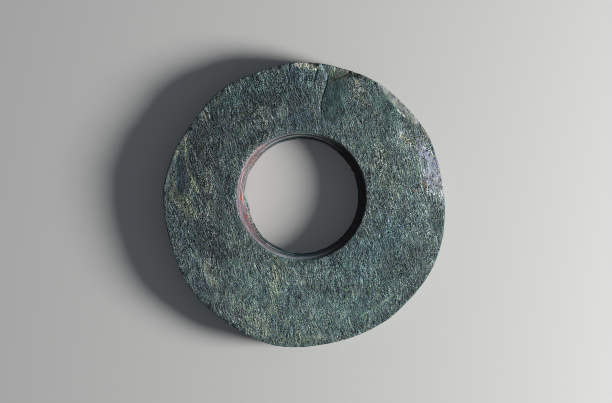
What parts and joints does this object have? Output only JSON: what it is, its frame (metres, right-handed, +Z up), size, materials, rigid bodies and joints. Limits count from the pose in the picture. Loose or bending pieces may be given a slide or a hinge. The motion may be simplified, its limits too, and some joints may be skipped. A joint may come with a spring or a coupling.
{
  "type": "stone bi disc",
  "caption": "Flat round disc of dark green stone with a wide tapered hole a little off its middle, ground edges, flake scars and red traces in the hole.",
  "frame": {"origin": "middle of the footprint, on the flat back", "axes": "+Z up, out of the front face; +Y towards the disc's top as it is pictured; +X towards its right, seen from the front"},
  "size_m": [0.1294, 0.131, 0.014],
  "materials": {
    "green_stone": "satin"
  },
  "bodies": {
    "root": {"stone_bi_disc": "green_stone"}
  },
  "joints": []
}
